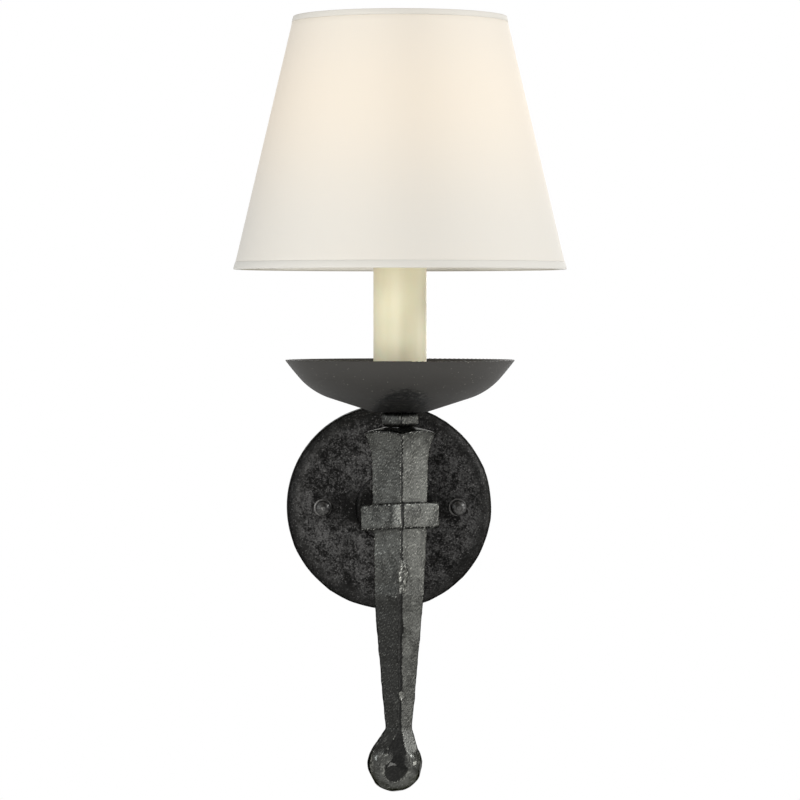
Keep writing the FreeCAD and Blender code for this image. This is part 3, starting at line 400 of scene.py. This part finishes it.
def forged_finish(name, burnt=False, rubbed=False):
    """Bar iron as it comes from the fire: flaked scale, painted highlights and painted shade on the flakes'
    flanks and ridges, and a painted dark reflection along the corners.

    burnt darkens the lower left of the stem, where the bar lay longest in the fire, and gives the
    ball a gloss. rubbed paints a highlight on a patch of the strap beside its corner.
    """
    made = Finish(name, Metallic=1.0, Specular_Tint=IRON_EDGE_TINT)
    wear = marked(made, "wear")
    long_grain = made.grain(9 * MM, 5.0, 0.65, on=made.stretched(1, 1, 0.5))
    # Painted highlights and painted shade: flanks of the flakes that face the upper left are lightened, and
    # those that face away are darkened.
    aside = made.node("ShaderNodeVectorMath", {"operation": "ADD"},
                      {0: made.place, 1: (-0.35 * FLAKE, 0, 0.35 * FLAKE)})
    flakes, shifted = (made.grain(FLAKE, 3.0, 0.6, on=made.slanted(place, FLAKE_SLANT, FLAKE_LENGTH))
                       for place in (made.place, aside))
    flank = flakes - shifted
    painted_glints = made.band(flank, 0.09, 0.19)
    painted_flank_shade = made.band(flank, -0.04, -0.17)
    burns = made.band(long_grain, 0.56, 0.4)
    gloss = corner_shade_widening = 0.0
    glint_share = 0.3
    bumps = flakes
    if burnt:
        tail = made.band(made.height() + 20 * MM * long_grain, *TAIL_BURNT)
        ball = made.band(made.height() - stem_foot + 4 * MM * flakes, *BALL_TOP)
        left = made.band(made.height("X") + 3 * MM * flakes, *LEFT_FACE)
        burns = burns * 0.6 + tail * (0.2 + 0.95 * left) * (1 - ball)
        gloss = 0.29 * ball
        bumps = flakes * (1 - 0.88 * ball)
        corner_shade_widening = 0.09 * tail * (1 - ball)
        glint_share = 0.3 - 0.14 * tail
        painted_flank_shade = painted_flank_shade * (1 - 0.6 * ball)
    faces = made.mixed(0.85 * burns, FORGED_GREY, FORGED_BURNT)
    if rubbed:
        # Painted highlight on a patch of the strap beside its corner.
        beside = made.band(made.height("X") + 3 * MM * flakes, *PAINTED_HIGHLIGHT_PATCH)
        beside = beside * made.band(made.height("X"), 0.5 * MM, -0.5 * MM)
        faces = made.mixed(beside * made.band(flakes, 0.35, 0.62, 0.05, 0.45), faces, FORGED_PAINTED_HIGHLIGHT)
    flank_shaded = made.mixed(0.6 * painted_flank_shade, faces, FORGED_DARK)
    # Painted shade: the ridges are darkened into dark outlines, and painted highlights are set on them.
    edge = made.band(wear + 0.3 * flakes, 0.35, 0.8)
    with_painted_ridge_shade = made.mixed(0.85 * edge, flank_shaded, FORGED_DARK)
    hollows = made.mixed(made.band(wear, -0.15, -0.8, 0.0, 0.9), with_painted_ridge_shade, FORGED_DARK)
    with_painted_glints = made.mixed(painted_glints * (glint_share + 0.5 * edge), hollows, FORGED_PAINTED_HIGHLIGHT)
    mark = marked(made, "corner")
    # Painted highlight on the folded splinter and the nick.
    fold = made.band(mark, 0.0, -0.9) * made.band(flakes, 0.4, 0.7, 0.05, 0.4)
    folded = made.mixed(fold, with_painted_glints, FORGED_PAINTED_HIGHLIGHT)
    # Painted dark reflection along the bar's corners, widened on the tail, with a painted highlight just
    # beside it.
    corner = made.band(mark + 0.1 * long_grain + corner_shade_widening, 0.93, 0.98)
    painted_corner_highlight = made.band(mark + 0.1 * long_grain, 0.85, 0.91) * made.band(flakes, 0.46, 0.62)
    lit = made.mixed(0.35 * painted_corner_highlight, folded, FORGED_PAINTED_HIGHLIGHT)
    made.set({
        "Base Color": made.mixed(0.95 * corner, lit, FORGED_DARK),
        "Roughness": 0.3 + 0.2 * long_grain - gloss,
        "Normal": made.relief(bumps, 0.28 * MM),
    })
    return made


forged_iron = forged_finish("forged iron")
# The strap's iron carries the painted highlight patch.
strap_iron = forged_finish("strap iron", rubbed=True)


def forged_piece(node, name, finish, grain, blows, depth, soften=2, lift=None):
    """A forged piece made from a CAD solid: its voxels' size, its blows' size and their depth."""
    piece = piece_from(
        hammered(evened(merged_copy(node), grain), blows, depth, scale_size=2.2 * MM,
                 scale_depth=0.07 * MM, soften=soften, lift=lift),
        name, finish)
    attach(piece, "wall_frame")
    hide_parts(node)


forged_piece("arm_boss", "arm_boss_disc", plate_iron, grain=0.6 * MM, blows=6 * MM, depth=0.2 * MM)
forged_piece("support_arm", "arm_bar", forged_iron, grain=0.8 * MM, blows=8 * MM, depth=0.5 * MM)
forged_piece("stem_strap", "stem_band", strap_iron, grain=0.6 * MM, blows=7 * MM, depth=0.45 * MM,
             soften=7)

# ==== Stem ==================================================================================
# One square bar set corner forward: upset and flared at the head, drawn down below the strap
# with its corners hammered flat, necked, and finished with a ball that was forged in facets.

# Middle, half width, half length and height of each mark.
SPLINTER = (Vector((0.8 * MM, 0, -37 * MM)), 3.0 * MM, 11 * MM, 1.2 * MM)
NICK = (Vector((0.4 * MM, 0, -112 * MM)), 2.2 * MM, 2.6 * MM, -1.0 * MM)


def splinter(point):
    """A splinter folded down on the front corner below the strap, and a nick lower down."""
    raised = 0.0
    for middle, half_width, half_length, height in (SPLINTER, NICK):
        away = math.hypot((point.x - middle.x) / half_width, (point.z - middle.z) / half_length)
        away += 0.35 * noise.noise(point / (3 * MM))
        raised += height * max(0.0, min(1.0, 3.0 * (1.0 - away)))
    return raised if point.y < stem_middle else 0.0


stem_low, stem_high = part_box("torch_stem")
stem_middle = (stem_low.y + stem_high.y) / 2
stem_iron = forged_finish("stem iron", burnt=True)
forged_piece("torch_stem", "stem_bar", stem_iron, grain=0.7 * MM, blows=9 * MM, depth=0.6 * MM,
             lift=splinter)

# ==== Collar and dish =======================================================================
# A small cushion-shaped collar bead lifts a spun iron dish off the stem's head. The dish is
# smooth and waxed dark, and nearly black where it was heated round its middle.

DISH_DARK = (0.037, 0.0355, 0.033)
DISH_GREY = (0.062, 0.0595, 0.056)
SOOT = (0.0055, 0.0055, 0.0055)
WAX_FLECK = (0.5, 0.48, 0.42)
PAINTED_SHADE_FADE = (14 * MM, 36 * MM)  # above the seat, where the painted shade on the lower dish starts to fade and is gone
SCORCH_HALF_WIDTH = 19 * MM
SCORCH_HEIGHT = 15 * MM
dish_low, dish_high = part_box("wax_dish")
DISH_SEAT = ((dish_low.x + dish_high.x) / 2, 0, dish_low.z)
SCORCH_SHARES = (1 / SCORCH_HALF_WIDTH, 0, 1 / SCORCH_HEIGHT)


def dish_finish():
    """Smooth waxed iron with a few pale flecks, painted shade low on the dish, and rough burnt scale where it
    was heated.
    """
    made = Finish("dish patina", Metallic=1.0)
    cloud = made.grain(16 * MM, 4.0, 0.55, warp=0.4)
    fine = made.grain(0.9 * MM, 3.0, 0.7)
    crust = made.grain(1.8 * MM, 4.0, 0.7, on=made.stretched(0.6, 0.6, 1.5))
    flecks = made.band(made.grain(1.1 * MM, 1.0), 0.745, 0.78)
    scorch = made.band(made.distance(DISH_SEAT, SCORCH_SHARES) + 0.7 * crust, 1.15, 1.5, 1.0, 0.0)
    # Painted shade: the dish is darker toward its seat and lighter toward the rim.
    raised = made.band(made.height() - dish_low.z + 12 * MM * cloud, *PAINTED_SHADE_FADE)
    waxed = made.mixed(raised, DISH_DARK, DISH_GREY)
    sooty = made.mixed(scorch * made.band(crust, 0.5, 0.6, 1.0, 0.1), waxed, SOOT)
    made.set({
        "Base Color": made.mixed(0.5 * flecks, sooty, WAX_FLECK),
        "Roughness": 0.58 + 0.14 * cloud - 0.12 * scorch,
        "Normal": made.relief(0.1 * fine + 0.05 * cloud + 0.85 * crust * scorch, 0.7 * MM),
    })
    return made


dress(dish_finish(), "wax_dish")
forged_piece("stem_collar", "collar_bead", forged_iron, grain=0.4 * MM, blows=5 * MM, depth=0.22 * MM)

# ==== Socket ================================================================================
# A black moulded socket on an adjustable steel bracket, with a brass screw shell, rivets and a
# sprung centre contact. The candle sleeve hides it.

brass = plated("brass shell", colour=(0.72, 0.5, 0.2), dull=(0.5, 0.34, 0.14), roughness=0.2)
spring_wire = plated("spring wire", colour=(0.6, 0.6, 0.62), dull=(0.5, 0.5, 0.5), roughness=0.25)
dress(brass, "screw_shell", "socket_rivets", "contact_plunger")
dress(spring_wire, "contact_spring")


def socket_finish():
    """Black thermoset with faint flow marks from its mould."""
    made = Finish("black moulded socket")
    flow = made.grain(4 * MM, 3.0)
    fine = made.grain(0.4 * MM, 2.0)
    made.set({
        "Base Color": made.mixed(flow, (0.012, 0.012, 0.012), (0.03, 0.029, 0.028)),
        "Roughness": 0.38 + 0.16 * flow,
        "Normal": made.relief(fine, 0.02 * MM),
    })
    return made


dress(socket_finish(), "socket_body")

# ==== Candle sleeve =========================================================================
# A moulded ivory tube with a waxy surface that slips over the socket and stands in the dish.

IVORY = (0.85, 0.79, 0.58)
IVORY_SHADE = (0.76, 0.69, 0.48)


def sleeve_finish():
    """Ivory plastic, streaked down its length like poured wax."""
    made = Finish("candle ivory", Subsurface_Weight=0.12, Subsurface_Scale=0.004)
    cloud = made.grain(18 * MM, 3.0)
    streaks = made.grain(3 * MM, 3.0, on=made.stretched(1, 1, 0.08))
    fine = made.grain(0.6 * MM, 2.0)
    made.set({
        "Base Color": made.mixed(0.5 * cloud + 0.3 * streaks, IVORY, IVORY_SHADE),
        "Roughness": 0.42 + 0.1 * streaks,
        "Normal": made.relief(0.6 * streaks + 0.4 * fine, 0.04 * MM),
    })
    return made


dress(sleeve_finish(), "candle_cover")

# ==== Bulb ==================================================================================
# A frosted globe on a white moulded housing, which stands in a bright screw cap with a black
# insulator and a solder tip. It is drawn lit.

GLASS_DIM = (0.62, 0.61, 0.58)
GLASS_PALE = (0.7, 0.69, 0.66)
GLOW_DEEP = (1.0, 0.86, 0.66)
GLOW_PALE = (1.0, 0.9, 0.74)


def glass_finish():
    """Frosted from inside, and lit."""
    made = Finish("frosted glass", Subsurface_Weight=0.3, Subsurface_Scale=0.01)
    frost = made.grain(0.8 * MM, 3.0)
    made.set({
        "Base Color": made.mixed(frost, GLASS_DIM, GLASS_PALE),
        "Emission Color": made.mixed(frost, GLOW_DEEP, GLOW_PALE),
        "Emission Strength": 0.22,
        "Roughness": 0.42 + 0.12 * frost,
        "Normal": made.relief(frost, 0.01 * MM),
    })
    return made


def cap_finish():
    """Bright nickel, dulled a little by handling."""
    made = Finish("bulb cap", Metallic=1.0)
    handling = made.grain(2 * MM)
    made.set({
        "Base Color": made.mixed(handling, (0.7, 0.7, 0.69), (0.85, 0.85, 0.84)),
        "Roughness": 0.22 + 0.15 * handling,
        "Normal": made.relief(handling, 0.01 * MM),
    })
    return made


def black_glass_finish():
    """The black glass between the cap and its tip."""
    made = Finish("insulator glass")
    swirl = made.grain(2 * MM)
    made.set({
        "Base Color": made.mixed(swirl, (0.01, 0.01, 0.014), (0.03, 0.03, 0.035)),
        "Roughness": 0.12 + 0.1 * swirl,
    })
    return made


def housing_finish():
    """White plastic with the fine grain of its mould."""
    made = Finish("white moulded housing")
    cloud = made.grain(7 * MM)
    made.set({
        "Base Color": made.mixed(cloud, (0.66, 0.66, 0.64), (0.72, 0.72, 0.7)),
        "Roughness": 0.38 + 0.14 * cloud,
        "Normal": made.relief(made.grain(0.5 * MM), 0.015 * MM),
    })
    return made


dress(glass_finish(), "bulb_glass")
dress(housing_finish(), "bulb_housing")
dress(cap_finish(), "bulb_base")
dress(black_glass_finish(), "bulb_insulator")
dress(plated("solder", colour=(0.6, 0.6, 0.6), dull=(0.42, 0.42, 0.42), roughness=0.4), "bulb_tip")

# ==== Bulb clip =============================================================================
# Two sprung wire rings that grip the globe, and a folded strip that joins their legs and swivels
# on the shade's cross wire.

clip_wire = plated("clip wire", colour=(0.66, 0.63, 0.55), dull=(0.5, 0.47, 0.4), roughness=0.24)
dress(clip_wire, "bulb_clip", "clip_hub")

# ==== Shade =================================================================================
# A hard-backed shade: off-white linen laminated to a white liner, rolled to a cone and glued to a
# top and a bottom wire ring. Cloth tape is folded over both edges.

SHADE_STEPS = 144
SHADE_ROWS = 24
CLOTH_THICK = 0.7 * MM
TAPE_PROUD = 0.35 * MM
THREAD = 0.45 * MM
TAPE_TURNED_IN = 4.2 * MM
MEAN_RADIUS_SHARE = 0.41
LINER_DIM = (0.72, 0.7, 0.65)
LINER_PALE = (0.77, 0.76, 0.71)
LINEN_WARM = (0.75, 0.71, 0.64)
LINEN_PALE = (0.73, 0.7, 0.645)
TAPE_WARM = (0.695, 0.67, 0.615)
TAPE_PALE = (0.68, 0.663, 0.62)
BULB_GLOW = (0.9, 0.5, 0.08)
cloth_low, cloth_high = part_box("shade_cloth")
axis_x = (cloth_low.x + cloth_high.x) / 2
axis_y = (cloth_low.y + cloth_high.y) / 2
shade_height = cloth_high.z - cloth_low.z


def coated_finish():
    """The white coat baked on the shade's wires."""
    made = Finish("white coated wire")
    cloud = made.grain(4 * MM)
    made.set({
        "Base Color": made.mixed(cloud, (0.78, 0.76, 0.71), (0.85, 0.84, 0.8)),
        "Roughness": 0.35 + 0.15 * cloud,
        "Normal": made.relief(made.grain(0.7 * MM), 0.02 * MM),
    })
    return made


def liner_finish():
    """The smooth white sheet inside the linen, with the bulb's light on it painted as a glow."""
    made = Finish("white liner")
    cloud = made.grain(22 * MM)
    made.set({
        "Base Color": made.mixed(cloud, LINER_DIM, LINER_PALE),
        "Emission Color": made.mixed(cloud, (0.9, 0.8, 0.66), (1.0, 0.88, 0.7)),
        "Emission Strength": 0.24,
        "Roughness": 0.5 + 0.1 * cloud,
        "Normal": made.relief(made.grain(0.5 * MM), 0.01 * MM),
    })
    return made


def linen_finish(name, warm, pale, glow):
    """Plain-woven linen: uneven threads both ways, and the lit bulb behind it painted as a glow."""
    made = Finish(name, Sheen_Weight=0.15, Sheen_Roughness=0.5, Emission_Strength=glow)
    across = made.node("ShaderNodeUVMap", {"uv_map": "cut"})
    warp = made.node("ShaderNodeMapping", values={"Vector": across, "Scale": (1.0, 0.04, 1.0)})
    weft = made.node("ShaderNodeMapping", values={"Vector": across, "Scale": (0.04, 1.0, 1.0)})
    slubs = 0.5 * made.grain(0.9 * MM, 3.0, 0.6, on=warp) + 0.5 * made.grain(0.9 * MM, 3.0, 0.6, on=weft)
    threads = 0.5 * made.grain(THREAD, 1.0, on=warp) + 0.5 * made.grain(THREAD, 1.0, on=weft)
    cloud = made.grain(60 * MM, 2.0)
    up = (made.height() - cloth_low.z) * (1 / shade_height)
    colour = made.mixed(0.35 * made.band(slubs, 0.35, 0.65) + 0.3 * cloud, warm, pale)
    # Painted glow of the bulb, brightest a little above the middle and fading toward the top.
    lit = made.band(up, 0.1, 0.68) * (1.0 - 0.4 * made.band(up, 0.7, 1.05))
    made.set({
        "Base Color": colour,
        "Emission Color": made.mixed(lit, (0.0, 0.0, 0.0), BULB_GLOW),
        "Roughness": 0.82 + 0.1 * slubs,
        "Normal": made.relief(0.5 * slubs + 0.5 * threads, 0.07 * MM),
    })
    return made


def spun(outline, steps, closed):
    """Spins an outline of (radius, height) points round the torch axis."""
    made = bmesh.new()
    verts = [made.verts.new((axis_x + radius, axis_y, height)) for radius, height in outline]
    pairs = list(zip(verts, verts[1:])) + ([(verts[-1], verts[0])] if closed else [])
    edges = [made.edges.new(pair) for pair in pairs]
    bmesh.ops.spin(made, geom=verts + edges, cent=(axis_x, axis_y, 0), axis=(0, 0, 1), angle=2 * math.pi,
                   steps=steps, use_merge=True)
    bmesh.ops.remove_doubles(made, verts=made.verts, dist=0.001 * MM)
    bmesh.ops.recalc_face_normals(made, faces=made.faces)
    return made


def lay_flat(made):
    """UVs in metres: round the shade at its mean radius, and up its height."""
    cut = made.loops.layers.uv.new("cut")
    mean_radius = (cloth_high.x - cloth_low.x) * MEAN_RADIUS_SHARE
    for face in made.faces:
        centre = face.calc_center_median()
        facing = math.atan2(centre.x - axis_x, axis_y - centre.y)
        for loop in face.loops:
            here = math.atan2(loop.vert.co.x - axis_x, axis_y - loop.vert.co.y)
            here += 2 * math.pi * round((facing - here) / (2 * math.pi))
            loop[cut].uv = (here * mean_radius, loop.vert.co.z)


def cloth_radius(height):
    """The cloth's outer radius at that height."""
    foot = (cloth_high.x - cloth_low.x) / 2
    share = (height - cloth_low.z) / shade_height
    return foot + (top_outer - foot) * share


def widest_at(node, height, reach=0.6 * MM):
    """The largest distance from the torch axis of a CAD piece's points near that height."""
    points = (vert.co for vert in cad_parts[node].data.vertices)
    return max(math.hypot(p.x - axis_x, p.y - axis_y) for p in points if abs(p.z - height) < reach)


top_outer = widest_at("shade_cloth", cloth_high.z)
linen = linen_finish("off-white linen", LINEN_WARM, LINEN_PALE, 0.13)
cloth_tape = linen_finish("cloth tape", TAPE_WARM, TAPE_PALE, 0.04)
rows = [cloth_low.z + shade_height * k / SHADE_ROWS for k in range(SHADE_ROWS + 1)]
made_cloth = spun([(cloth_radius(z), z) for z in rows], SHADE_STEPS, False)
a_face = made_cloth.faces[:][0]
outward = a_face.calc_center_median() - Vector((axis_x, axis_y, cloth_low.z))
if a_face.normal.dot(outward) < 0:
    bmesh.ops.reverse_faces(made_cloth, faces=made_cloth.faces)
lay_flat(made_cloth)
cloth = piece_from(made_cloth, "shade_linen", linen)
thickness = cloth.modifiers.new("thickness", "SOLIDIFY")
thickness.thickness = CLOTH_THICK
thickness.offset = -1.0

for name, node, edge, inward in (("top_tape", "shade_top_trim", cloth_high.z, -1),
                                 ("bottom_tape", "shade_bottom_trim", cloth_low.z, 1)):
    low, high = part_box(node)
    tape_height = (high.z - low.z) - TAPE_PROUD
    inner = cloth_radius(edge) - TAPE_TURNED_IN
    far = edge + inward * tape_height
    fold = [(inner, edge), (cloth_radius(edge), edge), (cloth_radius(far), far),
            (cloth_radius(far) + 0.7 * TAPE_PROUD, far + inward * -0.2 * MM),
            (cloth_radius(edge + inward * tape_height / 2) + TAPE_PROUD, edge + inward * tape_height / 2),
            (cloth_radius(edge) + 0.9 * TAPE_PROUD, edge + inward * 0.5 * MM),
            (cloth_radius(edge) + 0.4 * TAPE_PROUD, edge - inward * 0.25 * MM),
            (cloth_radius(edge) - 0.8 * MM, edge - inward * TAPE_PROUD * 0.9),
            (inner, edge - inward * TAPE_PROUD * 0.8)]
    made_tape = spun(fold, SHADE_STEPS, True)
    lay_flat(made_tape)
    tape = piece_from(made_tape, name, cloth_tape)
    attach(tape, "shade")
    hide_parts(node)

slope = math.hypot(shade_height, cloth_radius(cloth_low.z) - cloth_radius(cloth_high.z))
middle_run = math.pi * (cloth_radius(cloth_low.z) + cloth_radius(cloth_high.z))
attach(cloth, "shade")
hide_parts("shade_cloth")
2 * math.pi * cloth_radius(cloth_low.z)
middle_run * slope
dress(coated_finish(), "shade_top_frame", "cross_wire_stops", "shade_bottom_ring")
dress(liner_finish(), "shade_liner")

# ==== Photograph set ========================================================================
# A pale floor well below, soft lights in front, behind, above and at both sides, and a long lens
# a little to the left, 0.13 m above the strap.

FLOOR_RADIUS = 3.2
FLOOR_DROP = 0.75
FLOOR_PALE = 0.45
AIR_LIGHT = 0.3
CAMERA_AT = Vector((-0.147, -2.42, 0.129))
AIM_AT = Vector((0.0, -0.12, 0.0732))
VIEW_WIDTH = 0.504


def looked_at(tree):
    """1 where the camera, a metal or a glass looks, and 0 where a surface only gathers light."""
    rays = tree.nodes.new("ShaderNodeLightPath")
    camera, metal, glass = (Value(tree, rays.outputs[f"Is {kind} Ray"])
                            for kind in ("Camera", "Glossy", "Transmission"))
    return camera + metal + glass


def floor_finish():
    """White to the camera, and a plain pale grey that takes the object's shadow to the light."""
    made = Finish("pale floor", Roughness=0.9, Emission_Strength=FLOOR_PALE)
    made.set({
        "Base Color": made.mixed(made.grain(0.4), (0.8, 0.8, 0.79), (0.84, 0.84, 0.83)),
        "Emission Color": made.mixed(looked_at(made.tree), (0.0, 0.0, 0.0), (1.0, 1.0, 0.99)),
    })
    return made


made_floor = bmesh.new()
bmesh.ops.create_circle(made_floor, cap_ends=True, segments=96, radius=FLOOR_RADIUS,
                        matrix=Matrix.Translation((0, AIM_AT.y, cad_box[0].z - FLOOR_DROP)))
floor = piece_from(made_floor, "floor", floor_finish())


def soft_light(name, towards, distance, size, power, colour):
    """A square area light that stands that way and that far from the torch, and faces it."""
    lamp = bpy.data.lights.new(name, "AREA")
    lamp.shape = "SQUARE"
    lamp.size = size
    lamp.energy = power
    lamp.color = colour
    holder = bpy.data.objects.new(name, lamp)
    way = Vector(towards).normalized()
    holder.location = AIM_AT + way * distance
    holder.rotation_mode = "QUATERNION"
    holder.rotation_quaternion = way.to_track_quat("Z", "Y")
    bpy.context.scene.collection.objects.link(holder)


for name, towards, distance, size, power, colour in (
        ("front softbox", (-0.4, -1.0, 0.02), 2.6, 1.3, 41, (1.0, 0.995, 0.985)),
        ("right softbox", (1.0, 0.02, 0.42), 1.8, 0.5, 16.2, (0.97, 0.98, 0.99)),
        ("low right softbox", (1.0, 0.06, -0.11), 1.8, 0.5, 6.0, (1.0, 0.99, 0.97)),
        ("left softbox", (-1.0, -0.1, 0.25), 1.8, 0.4, 4.2, (0.9, 0.96, 1.0)),
        ("overhead softbox", (0.0, -0.5, 1.0), 1.8, 1.0, 4, (1.0, 1.0, 1.0)),
        ("back softbox", (0.2, 1.0, 0.25), 2.6, 1.6, 32, (1.0, 1.0, 1.0))):
    soft_light(name, towards, distance, size, power, colour)

world = bpy.data.worlds.new("studio")
bpy.context.scene.world = world
world.use_nodes = True
backdrop = world.node_tree.nodes["Background"]
backdrop.inputs["Color"].default_value = (1.0, 1.0, 1.0, 1.0)
join(world.node_tree, backdrop.inputs["Strength"], AIR_LIGHT + (1.0 - AIR_LIGHT) * looked_at(world.node_tree))

lens = bpy.data.cameras.new("camera")
camera = bpy.data.objects.new("camera", lens)
bpy.context.scene.collection.objects.link(camera)
bpy.context.scene.camera = camera
camera.location = CAMERA_AT
camera.rotation_mode = "QUATERNION"
camera.rotation_quaternion = (CAMERA_AT - AIM_AT).to_track_quat("Z", "Y")
lens.sensor_width = 36.0
lens.lens = lens.sensor_width * (CAMERA_AT - AIM_AT).length / VIEW_WIDTH
lens.clip_start = 0.05
lens.clip_end = 50.0

bpy.context.scene.view_settings.view_transform = "Standard"
